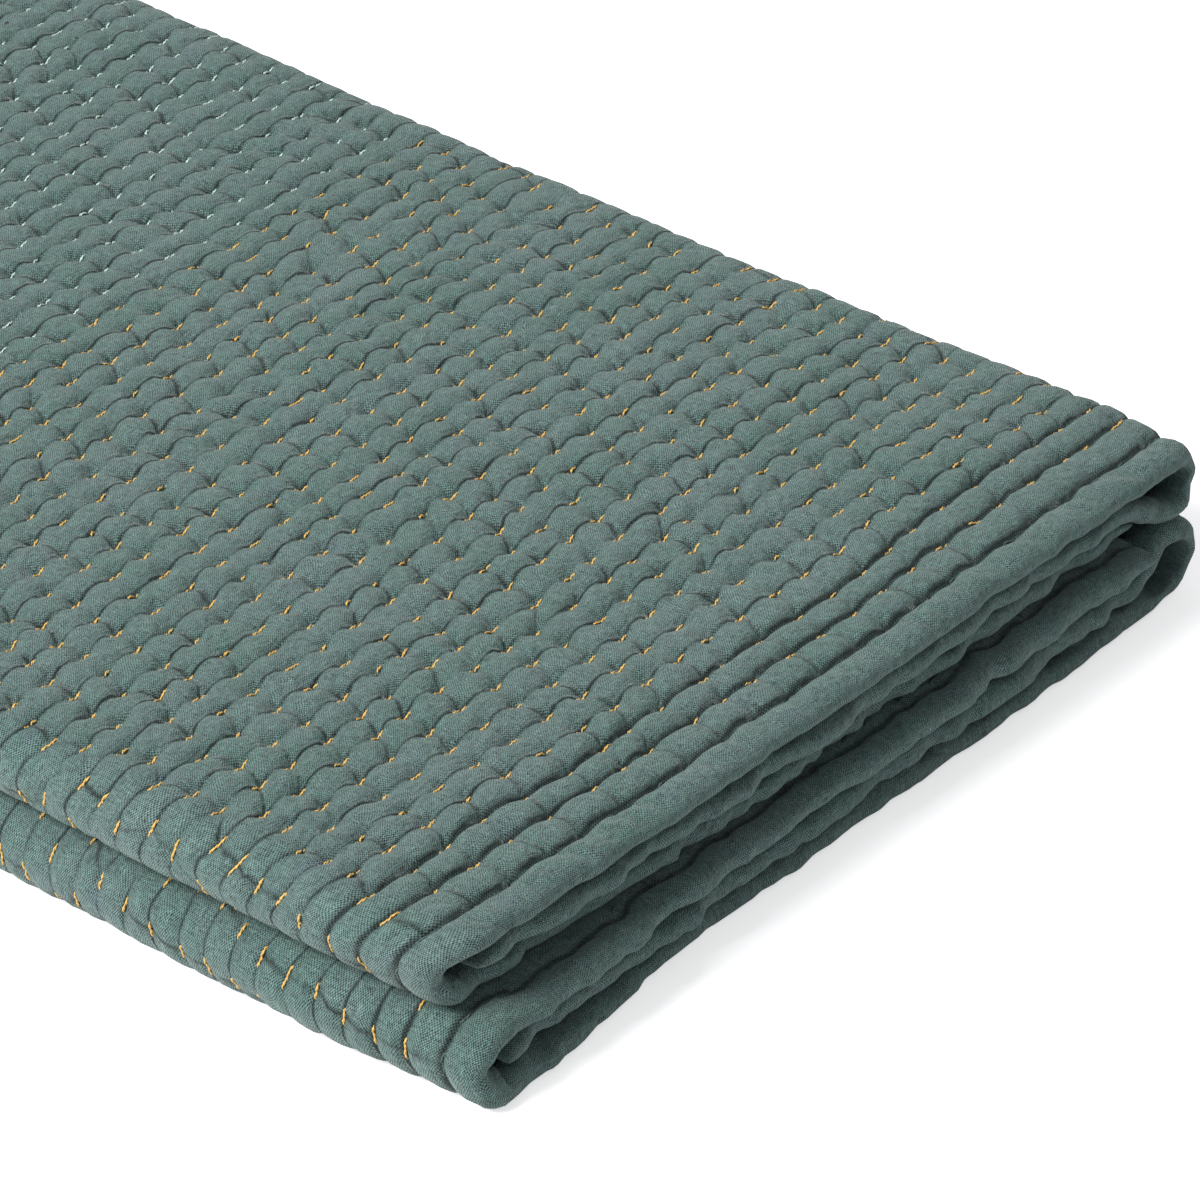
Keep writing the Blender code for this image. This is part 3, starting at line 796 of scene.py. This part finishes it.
def new_group(name, inputs, outputs):
    """An empty node group with its input and output sockets: (name, kind, start value)."""
    group = bpy.data.node_groups.new(name, "ShaderNodeTree")
    for title, kind, value in inputs:
        socket = group.interface.new_socket(title, in_out="INPUT", socket_type=kind)
        if value is not None:
            socket.default_value = value
    for title, kind in outputs:
        group.interface.new_socket(title, in_out="OUTPUT", socket_type=kind)
    return group


def set_inputs(node, values):
    """Set or link some of a node's inputs, each given by its name, or its number after a _."""
    for key, value in values.items():
        socket = node.inputs[int(key[1:])] if key[1:].isdigit() else node.inputs[key]
        if hasattr(value, "links"):
            node.id_data.links.new(value, socket)
        else:
            socket.default_value = value


def joiner(tree):
    """A function that adds a node, sets it up and links its inputs."""
    def add(kind, settings=None, **inputs):
        node = tree.nodes.new(kind)
        for key, value in (settings or {}).items():
            setattr(node, key, value)
        set_inputs(node, inputs)
        return node
    return add


def new_material(name, values):
    """A material, the function that adds its nodes, and its shader with these values."""
    material = bpy.data.materials.new(name)
    material.use_nodes = True
    shader = material.node_tree.nodes["Principled BSDF"]
    set_inputs(shader, values)
    return material, joiner(material.node_tree), shader


def maths(add, operation, first, second=0.5, third=0.5):
    """The value of one maths node."""
    return add("ShaderNodeMath", {"operation": operation}, _0=first, _1=second, _2=third).outputs[0]


def fibre_fleck():
    """Node group: small soft flecks of shade, as in spun cotton, from flat places in metres."""
    group = new_group("fibre fleck",
                      [("Place", "NodeSocketVector", None),
                       ("Fineness", "NodeSocketFloat", 1800.0),
                       ("Colour", "NodeSocketColor", (0.5, 0.5, 0.5, 1.0)),
                       ("Amount", "NodeSocketFloat", 0.3)],
                      [("Colour", "NodeSocketColor"), ("Height", "NodeSocketFloat")])
    add = joiner(group)
    given = add("NodeGroupInput")
    fleck = add("ShaderNodeTexNoise", None, Vector=given.outputs["Place"],
                Scale=given.outputs["Fineness"], Detail=2.0, Roughness=0.6)
    centred = maths(add, "SUBTRACT", fleck.outputs["Fac"], 0.5)
    gain = maths(add, "MULTIPLY_ADD", centred, maths(add, "MULTIPLY", given.outputs["Amount"], 2.0),
                 1.0)
    shade = add("ShaderNodeVectorMath", {"operation": "SCALE"}, _0=given.outputs["Colour"],
                Scale=gain)
    add("NodeGroupOutput", None, Colour=shade.outputs[0], Height=centred)
    return group


FLECK = fibre_fleck()
WEAVE = 0.00043  # from thread to thread
SLUB = (260.0, 2300.0)  # an uneven thread's noise a metre, along it and across it
THREAD_STRAY = (0.0016, 0.0016, 0.0)  # how far the weave's threads bend
SHADE = {"mean": 1.07, "weave": 1.00, "slubs": 1.6}  # of the cloth's colour, mean and spread
BUMPS = {"weave": 0.09, "slubs": 0.25, "fleck": 0.10}  # what each adds to the surface's height
LINT_SIZE = 0.0075  # of a speck, as a share of the space between specks
DYE = {"deep": (0.086, 0.146, 0.132, 1.0), "light": (0.101, 0.156, 0.147, 1.0),
       "bluish": (0.096, 0.134, 0.160, 1.0), "lint": (0.55, 0.58, 0.56, 1.0)}

# The fine cracks along the rows, in rows: how far behind the row, and how wide; the hem rows'
# are wider.  And the creases across them, in stitches.
CRACK_BEHIND, CRACK_WIDTH, WIDER_AT_HEM = 0.05, 0.050, 0.020
CREASE_WIDTH = 0.048
CREASE_STRAY = (0.12, 0.06, 0.0)  # how far they bend, in stitches and rows
INNER_CRACK_WIDTH = 0.06
PAINTED_CRACK_SHADE, PAINTED_HOLLOW_SHADE = -0.74, -0.17  # painted shade: what the cracks and hollows take off the cloth's colour
CRACK_BUMP = -0.60


def soft_line(add, distance, width):
    """1 on a line and 0 away from it, falling off softly over the width."""
    share = maths(add, "DIVIDE", distance, width)
    return maths(add, "EXPONENT", maths(add, "MULTIPLY", maths(add, "MULTIPLY", share, share), -1.0))


def sewn_creases(add, flat):
    """Where the cloth is pinched into fine creases, along its rows and from stitch to stitch, and
    how deep its hollows are; the cloth's colour darkens in both as painted shade.
    """
    sewing = add("ShaderNodeUVMap", {"uv_map": "sewing"}).outputs["UV"]
    hollows = add("ShaderNodeUVMap", {"uv_map": "hollows"}).outputs["UV"]
    hollows = add("ShaderNodeSeparateXYZ", None, _0=hollows)
    stray = add("ShaderNodeTexNoise", None, Vector=flat, Scale=190.0, Detail=2.0)
    stray = add("ShaderNodeVectorMath", {"operation": "MULTIPLY_ADD"}, _0=stray.outputs["Color"],
                _1=CREASE_STRAY, _2=[-part / 2 for part in CREASE_STRAY])
    place = add("ShaderNodeVectorMath", {"operation": "ADD"}, _0=sewing, _1=stray.outputs[0])
    place = add("ShaderNodeSeparateXYZ", None, _0=place.outputs[0])
    stitch, row = place.outputs[0], place.outputs[1]

    to_stitch = maths(add, "PINGPONG", stitch, 0.5)
    upper = maths(add, "LESS_THAN", row, len(ROWS) / 2)
    behind = maths(add, "MULTIPLY_ADD", upper, 2 * CRACK_BEHIND, -CRACK_BEHIND)
    to_row = maths(add, "PINGPONG", maths(add, "SUBTRACT", row, behind), 0.5)
    strength = add("ShaderNodeTexNoise", None, Vector=flat, Scale=70.0, Detail=2.0)
    varied = add("ShaderNodeMapRange", None, Value=strength.outputs["Fac"])
    set_inputs(varied, {"From Min": 0.38, "From Max": 0.58, "To Min": 0.12})
    from_end = maths(add, "MINIMUM", row, maths(add, "SUBTRACT", len(ROWS) - 1.0, row))
    at_hem = maths(add, "LESS_THAN", from_end, 2.5)
    along_row = maths(add, "MAXIMUM", varied.outputs[0], at_hem)
    width = maths(add, "MULTIPLY_ADD", at_hem, WIDER_AT_HEM, CRACK_WIDTH)
    along_row = maths(add, "MULTIPLY", soft_line(add, to_row, width), along_row)
    across_row = maths(add, "MULTIPLY", soft_line(add, to_stitch, CREASE_WIDTH), hollows.outputs[0])
    across_row = maths(add, "MULTIPLY", across_row, varied.outputs[0])
    crease = maths(add, "MAXIMUM", along_row, across_row)
    on_sewn = maths(add, "MULTIPLY", maths(add, "GREATER_THAN", row, -0.4),
                    maths(add, "LESS_THAN", row, len(ROWS) - 0.6))
    crease = maths(add, "MULTIPLY", crease, on_sewn)
    to_inner = maths(add, "ABSOLUTE", maths(add, "ADD", from_end, INNER_LINE))
    crease = maths(add, "MAXIMUM", crease, soft_line(add, to_inner, INNER_CRACK_WIDTH))
    return crease, hollows.outputs[1]


def slub(add, flat, stretch):
    """Uneven threads that run one way, around 0."""
    stretched = add("ShaderNodeVectorMath", {"operation": "MULTIPLY"}, _0=flat, _1=stretch)
    lines = add("ShaderNodeTexNoise", None, Vector=stretched.outputs[0], Scale=1.0, Detail=1.0)
    return maths(add, "SUBTRACT", lines.outputs["Fac"], 0.5)


def woven_cotton():
    """Dyed cotton in a plain weave, dull, faintly mottled, creased along its sewing, with painted
    shade in its creases and hollows.
    """
    material, add, shader = new_material("woven cotton", {
        "Roughness": 0.92, "Specular IOR Level": 0.25, "Sheen Weight": 0.30,
        "Sheen Roughness": 0.45, "Sheen Tint": (0.80, 0.92, 0.88, 1.0)})
    flat = add("ShaderNodeUVMap", {"uv_map": "flat cloth"}).outputs["UV"]
    bend = add("ShaderNodeTexNoise", None, Vector=flat, Scale=160.0, Detail=1.0)
    pull = add("ShaderNodeVectorMath", {"operation": "SUBTRACT"}, _0=bend.outputs["Color"],
               _1=(0.5, 0.5, 0.5))
    bent = add("ShaderNodeVectorMath", {"operation": "MULTIPLY_ADD"}, _0=pull.outputs[0],
               _1=THREAD_STRAY, _2=flat)
    thread = add("ShaderNodeVectorMath", {"operation": "SCALE"}, _0=bent.outputs[0],
                 Scale=math.pi / WEAVE)
    waves = add("ShaderNodeVectorMath", {"operation": "SINE"}, _0=thread.outputs[0])
    apart = add("ShaderNodeSeparateXYZ", None, _0=waves.outputs[0])
    weave = maths(add, "MULTIPLY", apart.outputs[0], apart.outputs[1])
    slubs = maths(add, "ADD", slub(add, bent.outputs[0], (SLUB[0], SLUB[1], 1.0)),
                  slub(add, bent.outputs[0], (SLUB[1], SLUB[0], 1.0)))

    broad = add("ShaderNodeTexNoise", None, Vector=flat, Scale=26.0, Detail=3.0, Roughness=0.55)
    tone = add("ShaderNodeValToRGB", None, Fac=broad.outputs["Fac"])
    for stop, place, name in zip(tone.color_ramp.elements, (0.38, 0.64), ("deep", "light")):
        stop.position = place
        stop.color = DYE[name]
    cool = add("ShaderNodeTexNoise", None, Vector=flat, Scale=75.0, Detail=2.0)
    bluish = add("ShaderNodeMapRange", None, Value=cool.outputs["Fac"])
    set_inputs(bluish, {"From Min": 0.60, "From Max": 0.72, "To Max": 0.35})
    tinted = add("ShaderNodeMix", {"data_type": "RGBA"}, _0=bluish.outputs[0],
                 _6=tone.outputs[0], _7=DYE["bluish"])
    fleck = add("ShaderNodeGroup", {"node_tree": FLECK}, Place=flat, Colour=tinted.outputs[2],
                Amount=0.60)
    grain = maths(add, "MULTIPLY_ADD", weave, SHADE["weave"], SHADE["mean"])
    grain = maths(add, "MULTIPLY_ADD", slubs, SHADE["slubs"], grain)
    crease, hollow = sewn_creases(add, flat)
    # painted shade: the cloth's colour darkens along the creases and in the hollows
    shade = maths(add, "MULTIPLY_ADD", crease, PAINTED_CRACK_SHADE, 1.0)
    painted_hollow_shade = maths(add, "MULTIPLY_ADD", hollow, PAINTED_HOLLOW_SHADE, 1.0)
    shade = maths(add, "MULTIPLY", shade, painted_hollow_shade)
    woven = add("ShaderNodeVectorMath", {"operation": "SCALE"}, _0=fleck.outputs["Colour"],
                Scale=maths(add, "MULTIPLY", grain, shade))
    lint = add("ShaderNodeTexVoronoi", None, Vector=flat, Scale=19.0)
    speck = maths(add, "LESS_THAN", lint.outputs["Distance"], LINT_SIZE)
    dressed = add("ShaderNodeMix", {"data_type": "RGBA"}, _0=speck, _6=woven.outputs[0],
                  _7=DYE["lint"])

    cockle = add("ShaderNodeTexNoise", None, Vector=flat, Scale=280.0, Detail=3.0, Roughness=0.6,
                 Distortion=0.8)
    threads = maths(add, "MULTIPLY_ADD", weave, BUMPS["weave"], cockle.outputs["Fac"])
    threads = maths(add, "MULTIPLY_ADD", slubs, BUMPS["slubs"], threads)
    threads = maths(add, "MULTIPLY_ADD", fleck.outputs["Height"], BUMPS["fleck"], threads)
    height = maths(add, "MULTIPLY_ADD", crease, CRACK_BUMP, threads)
    bump = add("ShaderNodeBump", None, Height=height, Distance=0.001, Strength=1.0)
    set_inputs(shader, {"Base Color": dressed.outputs[2], "Normal": bump.outputs[0]})
    return material


def spun_thread(name, colour, sheen):
    """Two-ply embroidery thread of one colour."""
    material, add, shader = new_material(name, {
        "Roughness": 0.55, "Specular IOR Level": 0.45, "Sheen Weight": sheen})
    place = add("ShaderNodeTexCoord").outputs["Object"]
    fleck = add("ShaderNodeGroup", {"node_tree": FLECK}, Place=place, Colour=(*colour, 1.0),
                Amount=0.55, Fineness=2600.0)
    bump = add("ShaderNodeBump", None, Height=fleck.outputs["Height"], Distance=0.0002,
               Strength=0.6)
    set_inputs(shader, {"Base Color": fleck.outputs["Colour"], "Normal": bump.outputs[0]})
    return material


# ------------------------ the quilt

cloth = cloth_mesh()
cloth.data.materials.append(woven_cotton())
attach(cloth, "root")
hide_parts("quilt")

THREADS = {
    "gold": spun_thread("gold thread", (0.80, 0.48, 0.12), 0.3),
    "mint": spun_thread("mint thread", (0.60, 0.78, 0.69), 0.3),
    "green": spun_thread("green thread", (0.075, 0.120, 0.108), 0.1),
}
for title, thread in sew_threads().items():
    thread.data.materials.append(THREADS[title.split("_")[0]])
    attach(thread, "root")


# ------------------------ floor, light and camera

FLOOR_SIZE, FLOOR_HEIGHT = 12.0, -0.0004  # the stitches below press a little into it


def pale_floor():
    """A wide plain floor just under the quilt."""
    bpy.ops.mesh.primitive_plane_add(size=FLOOR_SIZE, location=(0.0, 0.0, FLOOR_HEIGHT))
    floor = bpy.context.object
    floor.name = "floor"
    material, add, shader = new_material("pale floor", {
        "Base Color": (0.86, 0.86, 0.87, 1.0), "Roughness": 0.9, "Emission Strength": 0.60})
    set_inputs(shader, {"Emission Color": add("ShaderNodeLightPath").outputs["Is Camera Ray"]})
    floor.data.materials.append(material)
    return floor


def soft_light(name, direction, distance, size, power):
    """A square soft box that shines at the quilt from a direction."""
    lamp = bpy.data.lights.new(name, "AREA")
    lamp.shape = "SQUARE"
    lamp.size = size
    lamp.energy = power
    light = bpy.data.objects.new(name, lamp)
    away = Vector(direction).normalized()
    light.location = away * distance
    light.rotation_euler = (-away).to_track_quat("-Z", "Y").to_euler()
    bpy.context.collection.objects.link(light)
    return light


floor = pale_floor()
soft_light("key light", direction=(-0.68, 0.20, 0.69), distance=4.0, size=1.5, power=194.0)
world = bpy.data.worlds.new("pale room")
world.use_nodes = True
set_inputs(world.node_tree.nodes["Background"], {"Color": (0.97, 0.985, 1.0, 1.0), "Strength": 0.38})
bpy.context.scene.world = world
bpy.context.scene.view_settings.view_transform = "Standard"

CAMERA_AIM = Vector((-0.01595, -0.17805, 0.055))
CAMERA_ELEVATION = math.radians(32.6)
CAMERA_HEADING = math.radians(40.54)  # from +x towards +y
CAMERA_DISTANCE = 1.4878

look = Vector((math.cos(CAMERA_HEADING) * math.cos(CAMERA_ELEVATION),
               math.sin(CAMERA_HEADING) * math.cos(CAMERA_ELEVATION),
               -math.sin(CAMERA_ELEVATION)))
lens = bpy.data.cameras.new("camera")
lens.lens = 150.0
lens.sensor_width = 36.0
lens.clip_end = 20.0
camera = bpy.data.objects.new("camera", lens)
camera.location = CAMERA_AIM - look * CAMERA_DISTANCE
camera.rotation_euler = look.to_track_quat("-Z", "Y").to_euler()
bpy.context.collection.objects.link(camera)
bpy.context.scene.camera = camera
